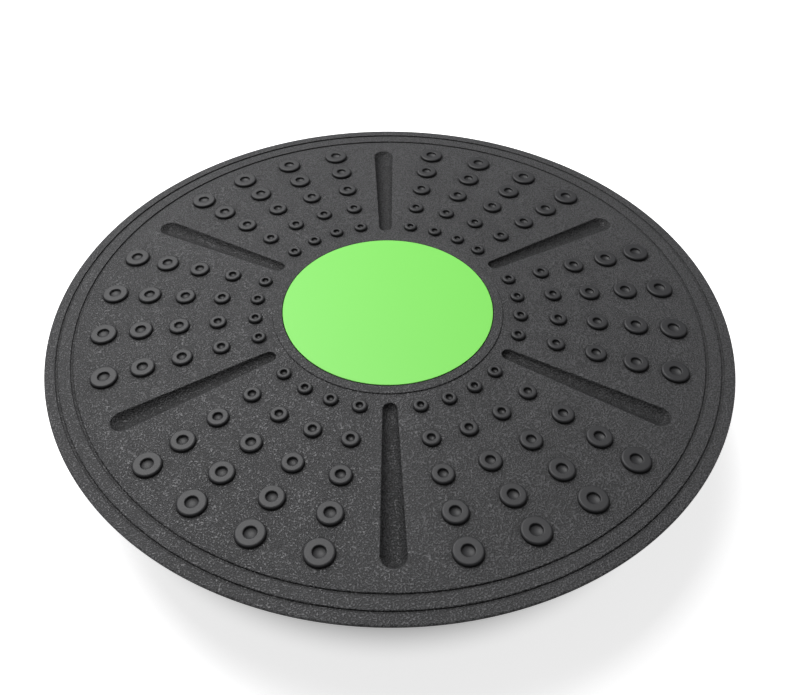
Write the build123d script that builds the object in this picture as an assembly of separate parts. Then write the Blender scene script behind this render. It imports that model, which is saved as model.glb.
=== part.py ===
from build123d import *

import os
from math import asin, degrees, hypot, radians, sqrt, tan

# Round balance board: a moulded standing deck screwed to a hollow rocking dome. Millimetres.
# The origin is the middle of the foot pad's flat face, on the floor, and +Z points up.
# One radial groove of the deck lies along +Y. Every sub-part goes to its own STEP file.

# Overall sizes
DECK_RADIUS = 200.0
BAND_TOP = 69.2  # height of the level band round the rim
PLATE = 3.4  # moulded wall of the deck
FACE_GAP = 0.1  # play between two faces that rest on each other
SECTORS = 6

# The standing surface: a shallow cone inside the level band, with a raised ring round the cap
CONE_RADIUS = 184.1
CONE_SLOPE = 2.0
PLATEAU_RADIUS = 68.4
PLATEAU_TOP = BAND_TOP + 4.75
PLATEAU_ROUND = 0.6

# Rim: two fine ring lines cut in the band, the first where the cone ends, and a rounded lip
LINE_RADII = (CONE_RADIUS, 192.6)
LINE_WIDTH = 1.4
LINE_DEPTH = 0.8
LINE_INNER_ROUND = 0.7
LINE_OUTER_ROUND = 0.25
LIP_THICK = 2.0
LIP_ROUND = 0.9

# Ring studs: five rings, with four studs of each ring in every sector
STUD_RINGS = (78.6, 100.6, 123.3, 145.7, 167.4)
STUD_RADII = (4.25, 5.1, 6.15, 7.0, 7.85)
STUD_ANGLES = (-18.0, -6.0, 6.0, 18.0)
STUD_HEIGHT = 2.0
STUD_ROOT = 0.5
STUD_ROUND = 1.2
STUD_HOLE_SHARE = 0.38
STUD_HOLE_FLOOR = 0.3
STUD_HOLE_ROUND = 0.6

# Radial grooves, one between each two sectors: round in section, and wider towards the rim
GROOVE_START = 74.3
GROOVE_END = 172.0
GROOVE_RADII = (4.0, 6.6)
GROOVE_DEPTH = 3.2
GROOVE_WALL = 2.6

# Hub: the recess that holds the cap, and the floor that the screws clamp
RECESS_RADIUS = 62.8
HUB_WALL = 3.0
HUB_FLOOR_TOP = PLATEAU_TOP - 7.1
HUB_FLOOR = 3.6
HUB_FLOOR_BOTTOM = HUB_FLOOR_TOP - HUB_FLOOR

# Ribs under the deck
RIB_THICK = 2.2
RIB_COUNT = 30
COLLAR_RADIUS = 92.6
COLLAR_THICK = 2.6
COLLAR_BOTTOM = 57.0
SKIRT_RADIUS = 188.0
SKIRT_THICK = 2.5
SKIRT_BOTTOM = BAND_TOP - 6.0
RING_RIB_RADII = (125.0, 156.0)
RING_RIB_BOTTOM = BAND_TOP - 6.5
HUB_RIB_COUNT = 12
HUB_RIB_BOTTOM = 64.0
SEAT_RING_RADIUS = 85.0

# Screws and washers, under the cap
SCREW_COUNT = 6
SCREW_CIRCLE = 44.0
SCREW_RADIUS = 2.0
SCREW_CORE = 1.5
SCREW_LENGTH = 16.0
SCREW_POINT = 1.6
SCREW_PITCH = 1.4
SCREW_HEAD_RADIUS = 3.9
SCREW_HEAD_HEIGHT = 2.5
SCREW_HEAD_ROUND = 1.2
SCREW_HOLE_RADIUS = 2.3
DRIVE_WIDTH = 0.9
DRIVE_LENGTH = 4.2
DRIVE_DEPTH = 1.3
WASHER_RADIUS = 5.0
WASHER_THICK = 0.8

# Centre cap
CAP_RADIUS = 62.5
CAP_TOP = PLATEAU_TOP + 0.25
CAP_SKIN = 2.2
CAP_EDGE_ROUND = 0.4
CAP_SKIRT_THICK = 2.0
CAP_RING_RIB_RADII = (18.0, 34.0)
CAP_RIB_THICK = 1.6
CAP_RIB_COUNT = 6
CAP_RIB_REACH = 36.0
SNAP_HEIGHT = PLATEAU_TOP - 3.4
SNAP_BEAD = 0.5
SNAP_HALF = 0.9

# Rocking dome
DOME_RADIUS = 92.2
DOME_BAND_BOTTOM = 53.0
DOME_POLE = 1.5
DOME_WALL = 3.6
DOME_SHOULDER_ROUND = 5.0
DOME_RIB_COUNT = 12
DOME_RIB_THICK = 2.4
DOME_RIB_TOP = 58.5
DOME_TUBE_RADIUS = 15.0
BOSS_RADIUS = 5.5
BOSS_TOP = HUB_FLOOR_BOTTOM - FACE_GAP
PILOT_RADIUS = 2.05
PILOT_DEPTH = 18.0

# Foot pad, let into the pole of the dome and held by pull-through pegs
PAD_RADIUS = 40.0
PAD_FLAT = 15.0
PAD_INSET = 1.5
PAD_GAP = 0.25
PAD_EDGE_ROUND = 0.8
TREAD_RADII = (18.5, 23.0, 27.5, 32.0, 36.5)
TREAD_CUT = 0.9
PEG_COUNT = 6
PEG_CIRCLE = 27.0
PEG_RADIUS = 2.6
PEG_HEAD_RADIUS = 3.9
PEG_HEAD_HEIGHT = 2.4
PEG_PLAY = 0.1
PEG_SEAT_RADIUS = 5.4
PEG_SEAT_RISE = 0.3

CONE_TIP = BAND_TOP + CONE_RADIUS * tan(radians(CONE_SLOPE))
ON_CONE = Pos(0, 0, CONE_TIP) * Rot(0, CONE_SLOPE, 0)  # turns flat work along +X down the slope
WELL_DEPTH = GROOVE_DEPTH + GROOVE_WALL
DOME_TOP = CONE_TIP - DOME_RADIUS * tan(radians(CONE_SLOPE)) - WELL_DEPTH - FACE_GAP
DOME_RISE = DOME_BAND_BOTTOM - DOME_POLE
DOME_SPHERE = (DOME_RADIUS**2 + DOME_RISE**2) / (2 * DOME_RISE)
DOME_CENTRE = DOME_POLE + DOME_SPHERE
PAD_SPHERE = sqrt(DOME_CENTRE**2 + PAD_FLAT**2)
HOLLOW_SPHERE = DOME_SPHERE - DOME_WALL - PAD_INSET
PEG_SEAT_OUTSIDE = PEG_CIRCLE + PEG_SEAT_RADIUS
PEG_SEAT_TOP = DOME_CENTRE - sqrt(HOLLOW_SPHERE**2 - PEG_SEAT_OUTSIDE**2) + PEG_SEAT_RISE


def turned(points, rounds=()):
    """Spin a closed outline of (radius, height) points about Z. rounds lists (radius, corner points)."""
    face = make_face(Polyline(*[(x, 0, z) for x, z in points], close=True)).face()
    for size, corners in rounds:
        picked = [min(face.vertices(), key=lambda v: hypot(v.X - x, v.Z - z)) for x, z in corners]
        face = face.fillet_2d(size, picked)
    return revolve(face, Axis.Z)


def ring(inner, outer, bottom, top):
    """A plain ring about Z."""
    return turned([(inner, bottom), (outer, bottom), (outer, top), (inner, top)])


def around(shape, count, start=0.0):
    """Copies of a shape, evenly spaced about Z."""
    return [Rot(0, 0, start + 360.0 * i / count) * shape for i in range(count)]


def radial_web(points, thick):
    """An upright web of the given (radius, height) outline, centred on the XZ plane."""
    face = make_face(Polyline(*[(x, 0, z) for x, z in points], close=True))
    return extrude(face, thick / 2, both=True)


def on_sphere(sphere, radius):
    """The (radius, height) point of the lower half of a sphere about the dome's centre."""
    return (radius, DOME_CENTRE - sqrt(sphere**2 - radius**2))


def sphere_arc(sphere, start, end):
    """The arc of that sphere between two radii from the axis, in the XZ plane."""
    middle = (start + end) / 2
    places = [on_sphere(sphere, r) for r in (start, middle, end)]
    return ThreePointArc(*[(x, 0, z) for x, z in places])


def chain(*points):
    """Straight lines through (radius, height) points, in the XZ plane."""
    return Polyline(*[(x, 0, z) for x, z in points])


def surface(radius):
    """Height of the standing surface at a radius."""
    return max(CONE_TIP - radius * tan(radians(CONE_SLOPE)), BAND_TOP)


def underside(radius):
    """Height of the plate's underside at a radius."""
    return surface(radius) - PLATE


def rib_root(radius):
    """Height at which a rib ends inside the plate."""
    return underside(radius) + STUD_ROOT


def groove_cut():
    """The trough of one groove, on +X below Z = 0: the path of a ball that grows as it rolls outwards."""
    balls = [(r**2 + GROOVE_DEPTH**2) / (2 * GROOVE_DEPTH) for r in GROOVE_RADII]
    start = GROOVE_START + GROOVE_RADII[0]
    run = GROOVE_END - GROOVE_RADII[1] - start
    rise = balls[1] - balls[0]
    span = hypot(run, rise)
    lean = rise / span
    small = (-lean * balls[0], run / span * balls[0])
    big = (span - lean * balls[1], run / span * balls[1])
    side = make_face(chain((small[0], 0), small, big, (big[0], 0), (small[0], 0)))
    path = revolve(side, Axis.X) + Sphere(balls[0]) + Pos(span, 0, 0) * Sphere(balls[1])
    return Pos(start, 0, balls[0] - GROOVE_DEPTH) * Rot(0, -degrees(asin(lean)), 0) * path


def groove_well():
    """The wall that follows the groove under the plate, on +X below Z = 0."""
    ends = [GROOVE_START + GROOVE_RADII[0], GROOVE_END - GROOVE_RADII[1]]
    inner = Pos(ends[0], 0) * Circle(GROOVE_RADII[0] - 0.6)
    outer = Pos(ends[1], 0) * Rot(0, 0, 180) * Circle(GROOVE_RADII[1] - 0.6)
    outline = make_hull(inner.edges() + outer.edges())
    return extrude(Pos(0, 0, -WELL_DEPTH) * outline, WELL_DEPTH - PLATE + STUD_ROOT)


def stud(radius):
    """A ring stud on Z = 0: flat on top, rounded outside, with a round hole in the middle."""
    hole = radius * STUD_HOLE_SHARE
    outline = [(0, -STUD_ROOT), (radius, -STUD_ROOT), (radius, STUD_HEIGHT), (hole, STUD_HEIGHT)]
    outline += [(hole, STUD_HOLE_FLOOR), (0, STUD_HOLE_FLOOR)]
    return turned(outline, [(STUD_ROUND, [(radius, STUD_HEIGHT)]), (STUD_HOLE_ROUND, [(hole, STUD_HEIGHT)])])


def studs():
    """All the studs of the deck, square to the cone."""
    placed = []
    for ring_radius, radius in zip(STUD_RINGS, STUD_RADII):
        one = Pos(ring_radius, 0, surface(ring_radius)) * Rot(0, CONE_SLOPE, 0) * stud(radius)
        for angle in STUD_ANGLES:
            placed += around(one, SECTORS, angle)
    return placed


def deck_body():
    """The deck without studs, grooves and ribs: plate, rim lines, lip, skirt, collar and hub."""
    lip_bottom = BAND_TOP - LIP_THICK
    skirt_inside = SKIRT_RADIUS - SKIRT_THICK
    collar_outside = COLLAR_RADIUS + COLLAR_THICK
    hub_outside = RECESS_RADIUS + HUB_WALL
    outline = [(0, HUB_FLOOR_BOTTOM), (0, HUB_FLOOR_TOP), (RECESS_RADIUS, HUB_FLOOR_TOP)]
    outline += [
        (RECESS_RADIUS, SNAP_HEIGHT - SNAP_HALF),
        (RECESS_RADIUS + SNAP_BEAD, SNAP_HEIGHT),
        (RECESS_RADIUS, SNAP_HEIGHT + SNAP_HALF),
    ]
    outline += [(RECESS_RADIUS, PLATEAU_TOP), (PLATEAU_RADIUS, PLATEAU_TOP)]
    outline.append((PLATEAU_RADIUS, surface(PLATEAU_RADIUS)))
    for radius in LINE_RADII:
        outline += [(radius, BAND_TOP), (radius, BAND_TOP - LINE_DEPTH)]
        outline += [(radius + LINE_WIDTH, BAND_TOP - LINE_DEPTH), (radius + LINE_WIDTH, BAND_TOP)]
    outline += [(DECK_RADIUS, BAND_TOP), (DECK_RADIUS, lip_bottom), (SKIRT_RADIUS, lip_bottom)]
    outline += [(SKIRT_RADIUS, SKIRT_BOTTOM), (skirt_inside, SKIRT_BOTTOM)]
    outline += [(skirt_inside, underside(skirt_inside)), (CONE_RADIUS, underside(CONE_RADIUS))]
    outline += [(collar_outside, underside(collar_outside)), (collar_outside, COLLAR_BOTTOM)]
    outline += [(COLLAR_RADIUS, COLLAR_BOTTOM), (COLLAR_RADIUS, underside(COLLAR_RADIUS))]
    outline += [(hub_outside, underside(hub_outside)), (hub_outside, HUB_FLOOR_BOTTOM)]
    rounds = [
        (PLATEAU_ROUND, [(PLATEAU_RADIUS, PLATEAU_TOP)]),
        (LINE_OUTER_ROUND, [(RECESS_RADIUS, PLATEAU_TOP)]),
        (LINE_INNER_ROUND, [(radius, BAND_TOP) for radius in LINE_RADII]),
        (LINE_OUTER_ROUND, [(radius + LINE_WIDTH, BAND_TOP) for radius in LINE_RADII]),
        (LIP_ROUND, [(DECK_RADIUS, BAND_TOP), (DECK_RADIUS, lip_bottom)]),
    ]
    return turned(outline, rounds)


def deck_ribs():
    """Radial and ring ribs under the plate, deepest at the collar."""
    inside = COLLAR_RADIUS + COLLAR_THICK / 2
    outside = SKIRT_RADIUS - SKIRT_THICK / 2
    outline = [(inside, COLLAR_BOTTOM), (RING_RIB_RADII[0], RING_RIB_BOTTOM), (outside, SKIRT_BOTTOM)]
    outline += [(outside, rib_root(outside)), (inside, rib_root(inside))]
    ribs = around(radial_web(outline, RIB_THICK), RIB_COUNT, 360.0 / RIB_COUNT / 2)
    for radius in RING_RIB_RADII:
        ribs.append(ring(radius - RIB_THICK / 2, radius + RIB_THICK / 2, RING_RIB_BOTTOM, rib_root(radius)))
    hub_side = RECESS_RADIUS + HUB_WALL / 2
    seat_inside = SEAT_RING_RADIUS - RIB_THICK / 2
    hub_rib = [(hub_side, HUB_RIB_BOTTOM), (SEAT_RING_RADIUS, HUB_RIB_BOTTOM)]
    hub_rib += [(SEAT_RING_RADIUS, rib_root(SEAT_RING_RADIUS)), (hub_side, rib_root(hub_side))]
    ribs += around(radial_web(hub_rib, RIB_THICK), HUB_RIB_COUNT, 360.0 / HUB_RIB_COUNT / 2)
    ribs.append(ring(seat_inside, seat_inside + RIB_THICK, HUB_RIB_BOTTOM, rib_root(SEAT_RING_RADIUS)))
    ribs.append(ring(DOME_RADIUS - DOME_WALL, inside, DOME_TOP + FACE_GAP, rib_root(inside)))
    return ribs


def make_deck():
    """The standing deck, one moulding."""
    body = deck_body() + deck_ribs() + around(ON_CONE * groove_well(), SECTORS, 30.0)
    body -= around(ON_CONE * groove_cut(), SECTORS, 30.0)
    hole = Pos(SCREW_CIRCLE, 0, HUB_FLOOR_BOTTOM) * Cylinder(SCREW_HOLE_RADIUS, 3 * HUB_FLOOR)
    body -= around(hole, SCREW_COUNT)
    return body + studs()


def make_cap():
    """The cap that closes the hub: a flat skin, a snap skirt and stiffening ribs."""
    skin_bottom = CAP_TOP - CAP_SKIN
    foot = HUB_FLOOR_TOP + FACE_GAP
    inside = CAP_RADIUS - CAP_SKIRT_THICK
    outline = [(0, skin_bottom), (0, CAP_TOP), (CAP_RADIUS, CAP_TOP)]
    outline += [
        (CAP_RADIUS, SNAP_HEIGHT + SNAP_HALF),
        (CAP_RADIUS + SNAP_BEAD, SNAP_HEIGHT),
        (CAP_RADIUS, SNAP_HEIGHT - SNAP_HALF),
    ]
    outline += [(CAP_RADIUS, foot), (inside, foot), (inside, skin_bottom)]
    cap = turned(outline, [(CAP_EDGE_ROUND, [(CAP_RADIUS, CAP_TOP)])])
    root = skin_bottom + CAP_SKIN / 2
    webs = [ring(r - CAP_RIB_THICK / 2, r + CAP_RIB_THICK / 2, foot, root) for r in CAP_RING_RIB_RADII]
    spoke = [(CAP_RING_RIB_RADII[0], foot), (CAP_RING_RIB_RADII[1], foot)]
    spoke += [(CAP_RING_RIB_RADII[1], root), (CAP_RING_RIB_RADII[0], root)]
    webs += around(radial_web(spoke, CAP_RIB_THICK), CAP_RIB_COUNT, 180.0 / CAP_RIB_COUNT)
    return cap + webs


def dome_cavity():
    """The hollow of the dome, with its ribs, centre tube, screw bosses and peg seats left standing."""
    wide = DOME_RADIUS - DOME_WALL
    above = DOME_TOP + DOME_WALL
    wall = sphere_arc(HOLLOW_SPHERE, 0, wide)
    sides = chain(on_sphere(HOLLOW_SPHERE, wide), (wide, above), (0, above), on_sphere(HOLLOW_SPHERE, 0))
    hollow = revolve(make_face([wall, sides]), Axis.Z)
    start = DOME_TUBE_RADIUS - DOME_RIB_THICK / 2
    outline = [(start, 0), (DOME_RADIUS, 0), (DOME_RADIUS, DOME_RIB_TOP), (start, DOME_RIB_TOP)]
    web = radial_web(outline, DOME_RIB_THICK)
    kept = around(web, DOME_RIB_COUNT, 180.0 / DOME_RIB_COUNT)
    kept.append(ring(DOME_TUBE_RADIUS - DOME_RIB_THICK, DOME_TUBE_RADIUS, 0, DOME_RIB_TOP))
    kept += around(Pos(SCREW_CIRCLE, 0, BOSS_TOP / 2) * Cylinder(BOSS_RADIUS, BOSS_TOP), SCREW_COUNT)
    seat = Pos(PEG_CIRCLE, 0, PEG_SEAT_TOP / 2) * Cylinder(PEG_SEAT_RADIUS, PEG_SEAT_TOP)
    kept += around(seat, PEG_COUNT, 180.0 / PEG_COUNT)
    return hollow - kept


def make_dome():
    """The hollow rocking dome."""
    edge = on_sphere(DOME_SPHERE, DOME_RADIUS)
    bowl = sphere_arc(DOME_SPHERE, 0, DOME_RADIUS)
    sides = chain(edge, (DOME_RADIUS, DOME_TOP), (0, DOME_TOP), on_sphere(DOME_SPHERE, 0))
    face = make_face([bowl, sides]).face()
    corner = min(face.vertices(), key=lambda v: hypot(v.X - edge[0], v.Z - edge[1]))
    face = face.fillet_2d(DOME_SHOULDER_ROUND, [corner])
    dome = revolve(face, Axis.Z) - dome_cavity()
    recess_sphere = DOME_SPHERE - PAD_INSET
    mouth = PAD_RADIUS + PAD_GAP
    floor = sphere_arc(recess_sphere, 0, mouth)
    below = chain(on_sphere(recess_sphere, mouth), (mouth, -1), (0, -1), on_sphere(recess_sphere, 0))
    dome -= revolve(make_face([floor, below]), Axis.Z)
    pilot = Pos(SCREW_CIRCLE, 0, BOSS_TOP - PILOT_DEPTH / 2) * Cylinder(PILOT_RADIUS, PILOT_DEPTH)
    dome -= around(pilot, SCREW_COUNT)
    peg_hole = Pos(PEG_CIRCLE, 0, PEG_SEAT_TOP / 2) * Cylinder(PEG_RADIUS + PEG_PLAY, 2 * PEG_SEAT_TOP)
    dome -= around(peg_hole, PEG_COUNT, 180.0 / PEG_COUNT)
    return dome


def make_foot_pad():
    """The non-slip pad: flat in the middle, then following the dome, with ring treads and pegs."""
    seat = DOME_SPHERE - PAD_INSET + FACE_GAP
    rim = on_sphere(seat, PAD_RADIUS)
    shoulder = on_sphere(PAD_SPHERE, PAD_RADIUS)
    back = sphere_arc(seat, 0, PAD_RADIUS)
    tread = sphere_arc(PAD_SPHERE, PAD_RADIUS, PAD_FLAT)
    foot = chain((PAD_FLAT, 0), (0, 0), on_sphere(seat, 0))
    face = make_face([back, chain(rim, shoulder), tread, foot]).face()
    corner = min(face.vertices(), key=lambda v: hypot(v.X - shoulder[0], v.Z - shoulder[1]))
    pad = revolve(face.fillet_2d(PAD_EDGE_ROUND, [corner]), Axis.Z)
    for radius in TREAD_RADII:
        x, z = on_sphere(PAD_SPHERE, radius)
        pad -= revolve(Plane.XZ * Pos(x, z) * Circle(TREAD_CUT), Axis.Z)
    head_bottom = PEG_SEAT_TOP + PEG_PLAY
    top = head_bottom + PEG_HEAD_HEIGHT
    root = on_sphere(seat, PEG_CIRCLE)[1] - PAD_INSET
    outline = [(0, root), (PEG_RADIUS, root), (PEG_RADIUS, head_bottom), (PEG_HEAD_RADIUS, head_bottom)]
    outline += [(PEG_RADIUS - 1, top), (0, top)]
    peg = Pos(PEG_CIRCLE, 0, 0) * turned(outline)
    return pad + around(peg, PEG_COUNT, 180.0 / PEG_COUNT)


def make_screw():
    """A self-tapping pan-head screw on the Z axis, its head resting on a washer."""
    seat = HUB_FLOOR_TOP + WASHER_THICK
    tip = seat - SCREW_LENGTH
    outline = [(0, tip), (SCREW_CORE, tip + SCREW_POINT)]
    turns = int((SCREW_LENGTH - SCREW_POINT) / SCREW_PITCH) - 1
    for i in range(turns):
        z = tip + SCREW_POINT + i * SCREW_PITCH
        outline += [(SCREW_RADIUS, z + SCREW_PITCH / 2), (SCREW_CORE, z + SCREW_PITCH)]
    outline += [(SCREW_CORE, seat), (SCREW_HEAD_RADIUS, seat)]
    outline += [(SCREW_HEAD_RADIUS, seat + SCREW_HEAD_HEIGHT), (0, seat + SCREW_HEAD_HEIGHT)]
    screw = turned(outline, [(SCREW_HEAD_ROUND, [(SCREW_HEAD_RADIUS, seat + SCREW_HEAD_HEIGHT)])])
    slot = Box(DRIVE_LENGTH, DRIVE_WIDTH, 2 * DRIVE_DEPTH)
    cross = slot + Rot(0, 0, 90) * slot
    return screw - Pos(0, 0, seat + SCREW_HEAD_HEIGHT) * cross


def make_screws():
    """The screws, as separate solids."""
    return Compound(around(Pos(SCREW_CIRCLE, 0, 0) * make_screw(), SCREW_COUNT))


def make_washers():
    """The washers, as separate solids."""
    washer = ring(SCREW_HOLE_RADIUS, WASHER_RADIUS, HUB_FLOOR_TOP, HUB_FLOOR_TOP + WASHER_THICK)
    return Compound(around(Pos(SCREW_CIRCLE, 0, 0) * washer, SCREW_COUNT))


NODES = {
    "deck": make_deck,
    "centre_cap": make_cap,
    "dome": make_dome,
    "foot_pad": make_foot_pad,
    "screws": make_screws,
    "washers": make_washers,
}

os.makedirs("parts", exist_ok=True)
for name, maker in NODES.items():
    export_step(maker(), f"parts/{name}.step")
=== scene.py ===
import logging
import math
from dataclasses import dataclass, field
from enum import Enum
from typing import Any, Iterable, Sequence

import bmesh
import bpy
from bmesh.types import BMEdge, BMesh, BMVert
from mathutils import Matrix, Vector
from mathutils.geometry import delaunay_2d_cdt


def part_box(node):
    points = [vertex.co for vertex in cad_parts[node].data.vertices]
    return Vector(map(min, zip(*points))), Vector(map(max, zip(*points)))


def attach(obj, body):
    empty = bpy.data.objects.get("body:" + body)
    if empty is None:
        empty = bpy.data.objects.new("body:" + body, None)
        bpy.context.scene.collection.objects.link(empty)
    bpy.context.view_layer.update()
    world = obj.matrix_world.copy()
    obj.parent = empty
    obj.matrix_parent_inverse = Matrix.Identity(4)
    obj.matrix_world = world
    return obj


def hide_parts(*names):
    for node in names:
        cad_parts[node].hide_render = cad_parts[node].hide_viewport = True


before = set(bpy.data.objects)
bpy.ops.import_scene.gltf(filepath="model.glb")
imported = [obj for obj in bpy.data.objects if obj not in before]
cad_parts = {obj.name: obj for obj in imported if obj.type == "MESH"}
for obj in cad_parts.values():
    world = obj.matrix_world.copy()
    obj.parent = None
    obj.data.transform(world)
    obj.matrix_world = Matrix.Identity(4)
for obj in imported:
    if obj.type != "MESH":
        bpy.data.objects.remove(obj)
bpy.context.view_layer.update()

MM = 0.001
BODY = "root"
SEAM = 0.002  # vertices closer than this are one, in millimetres
NEAR = 0.01  # slack when a ring is looked up by its radius and height, in millimetres
CLEAR = 0.1  # slack when faces are told apart by height or radius, in millimetres
OVERLAP = 0.1  # how far a rib or a bulge runs into the wall that it stands on, in millimetres
NOISE_SPAN = (0.3, 0.7)  # where most values of a noise texture lie
OPEN_SKY = (0.5, 0.95)  # share of the sky that is seen from a cavity, and from an open face
CAVITY_SHADE = 0.08  # what is left of a colour deep in a cavity, under the painted shade
log = logging.getLogger("balance_board")

Ring = tuple[float, float]  # radius from the axis and height above the floor, in millimetres
Colour = tuple[float, float, float, float]  # linear red, green and blue, and alpha


def top_of(node: str) -> float:
    """Height of a CAD node's highest point.

    Args:
        node: Name of the CAD node.

    Returns:
        The height in millimetres.
    """
    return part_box(node)[1].z / MM


def reach_of(node: str) -> float:
    """Furthest a CAD node reaches from the axis along X.

    Args:
        node: Name of the CAD node.

    Returns:
        The distance in millimetres.
    """
    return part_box(node)[1].x / MM


# ---------------------------------------------------------------- colours and nodes


def linear(hex_colour: str) -> Colour:
    """Turn an sRGB hex colour into the linear one that shaders take.

    Args:
        hex_colour: Six hex digits, such as "2e2e30".

    Returns:
        Red, green, blue and alpha.
    """
    channels = [int(hex_colour[i : i + 2], 16) / 255 for i in (0, 2, 4)]
    red, green, blue = (c / 12.92 if c <= 0.04045 else ((c + 0.055) / 1.055) ** 2.4 for c in channels)
    return red, green, blue, 1.0


def add_node(
    tree: bpy.types.NodeTree,
    kind: str,
    inputs: dict[str | int, Any] | None = None,
    **settings: Any,
) -> bpy.types.Node:
    """Add one shader node with its settings, input values and links.

    Args:
        tree: The tree that takes the node.
        kind: The node's type name, without the leading "ShaderNode".
        inputs: Input socket to a value, or to the output socket that feeds it.
        **settings: The node's own settings.

    Returns:
        The new node.
    """
    made = tree.nodes.new("ShaderNode" + kind)
    for name, value in settings.items():
        setattr(made, name, value)
    for socket, value in (inputs or {}).items():
        if isinstance(value, bpy.types.NodeSocket):
            tree.links.new(value, made.inputs[socket])
        else:
            made.inputs[socket].default_value = value
    return made


def new_material(name: str) -> tuple[bpy.types.Material, bpy.types.NodeTree]:
    """Make an empty node material.

    Args:
        name: What the material really is.

    Returns:
        The material and its cleared node tree.
    """
    material = bpy.data.materials.new(name)
    material.use_nodes = True
    material.node_tree.nodes.clear()
    return material, material.node_tree


def per_metre(size_mm: float) -> float:
    """Texture scale that gives features of a real size, on Object coordinates in metres.

    Args:
        size_mm: Size of one feature in millimetres.

    Returns:
        The scale to give a texture node.
    """
    return 1 / (size_mm * MM)


def mottled(
    tree: bpy.types.NodeTree,
    place: bpy.types.NodeSocket,
    colour: bpy.types.NodeSocket | Colour,
    patch_mm: float,
    spread: float,
) -> bpy.types.NodeSocket:
    """Vary a colour in wide soft patches, as flow marks do in a moulding.

    Args:
        tree: The tree that takes the nodes.
        place: The coordinates to read.
        colour: The even colour.
        patch_mm: Size of one patch.
        spread: How much lighter or darker a patch may be, as a share.

    Returns:
        The mottled colour.
    """
    patches = add_node(tree, "TexNoise", {"Vector": place, "Scale": per_metre(patch_mm), "Detail": 3.0})
    shade = add_node(
        tree,
        "MapRange",
        {
            "Value": patches.outputs[0],
            "From Min": NOISE_SPAN[0],
            "From Max": NOISE_SPAN[1],
            "To Min": 1 - spread,
            "To Max": 1 + spread,
        },
    )
    return add_node(tree, "HueSaturation", {"Value": shade.outputs[0], "Color": colour}).outputs[0]


def paint_cavity_shade(
    tree: bpy.types.NodeTree, colour: bpy.types.NodeSocket, reach_mm: float
) -> bpy.types.NodeSocket:
    """Darken a colour in narrow corners and holes: painted shade, where the light reaches less.

    Args:
        tree: The tree that takes the nodes.
        colour: The colour of an open face.
        reach_mm: How wide an opening still counts as a cavity.

    Returns:
        The darkened colour.
    """
    sky = add_node(tree, "AmbientOcclusion", {"Distance": reach_mm * MM}, samples=8)
    share = add_node(
        tree,
        "MapRange",
        {
            "Value": sky.outputs["AO"],
            "From Min": OPEN_SKY[0],
            "From Max": OPEN_SKY[1],
            "To Min": CAVITY_SHADE,
        },
    )
    return add_node(tree, "HueSaturation", {"Value": share.outputs[0], "Color": colour}).outputs[0]


@dataclass(frozen=True)
class LeatherGrainPolypropylene:
    """Injection-moulded black polypropylene from an etched tool.

    The etched leather grain breaks the sheen into fine bright specks. Its colour is darker in the creases
    and lighter on the crests, as painted shade and painted highlight on the grain, which lifts the black
    to a dark grey.
    """

    name: str = "black_polypropylene_leather_grain"
    # the crease colour is painted shade and the crest colour painted highlight
    painted_crease_shade: str = "323233"
    painted_crest_highlight: str = "58585a"
    roughness: float = 0.46
    ior: float = 1.49
    pebble_mm: float = 0.9  # one pebble, coarser than the real 0.4 mm so that it shows at all
    wrinkle_mm: float = 3.0  # the longer wrinkles that the pebbles sit on
    wrinkle_share: float = 0.12
    flank: tuple[float, float] = (0.37, 0.63)  # where the noise leaves a crease and reaches a crest
    shine: tuple[float, float] = (0.12, -0.04)  # added to the roughness in a crease and on a crest
    mottle_mm: float = 45.0
    mottle: float = 0.07
    relief_mm: float = 0.36  # height of a pebble over its crease
    # how wide an opening still takes painted shade
    cavity_shade_mm: float = 9.0

    def material(self) -> bpy.types.Material:
        """Build the material.

        Returns:
            The finished material.
        """
        material, tree = new_material(self.name)
        place = add_node(tree, "TexCoord").outputs["Object"]
        pebbles = add_node(
            tree,
            "TexNoise",
            {"Vector": place, "Scale": per_metre(self.pebble_mm), "Detail": 2.0, "Roughness": 0.6},
        )
        wrinkles = add_node(
            tree,
            "TexNoise",
            {"Vector": place, "Scale": per_metre(self.wrinkle_mm), "Detail": 1.0},
        )
        grain = add_node(
            tree,
            "Mix",
            {"Factor": self.wrinkle_share, 2: pebbles.outputs[0], 3: wrinkles.outputs[0]},
            data_type="FLOAT",
        )
        height = add_node(
            tree,
            "MapRange",
            {"Value": grain.outputs[0], "From Min": self.flank[0], "From Max": self.flank[1]},
            interpolation_type="SMOOTHSTEP",
        )
        # Painted shade in the grain's creases and painted highlight on its crests
        painted_grain_speckle = add_node(
            tree,
            "Mix",
            {"Factor": height.outputs[0], 6: linear(self.painted_crease_shade), 7: linear(self.painted_crest_highlight)},
            data_type="RGBA",
        )
        colour = mottled(tree, place, painted_grain_speckle.outputs[2], self.mottle_mm, self.mottle)
        in_crease, on_crest = (self.roughness + change for change in self.shine)
        shine = add_node(
            tree,
            "MapRange",
            {"Value": height.outputs[0], "To Min": in_crease, "To Max": on_crest},
        )
        relief = add_node(tree, "Bump", {"Distance": self.relief_mm * MM, "Height": height.outputs[0]})
        # The base colour carries painted shade in narrow corners and holes
        shader = add_node(
            tree,
            "BsdfPrincipled",
            {
                "Base Color": paint_cavity_shade(tree, colour, self.cavity_shade_mm),
                "Roughness": shine.outputs[0],
                "IOR": self.ior,
                "Normal": relief.outputs[0],
            },
        )
        add_node(tree, "OutputMaterial", {"Surface": shader.outputs[0]})
        return material


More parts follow.
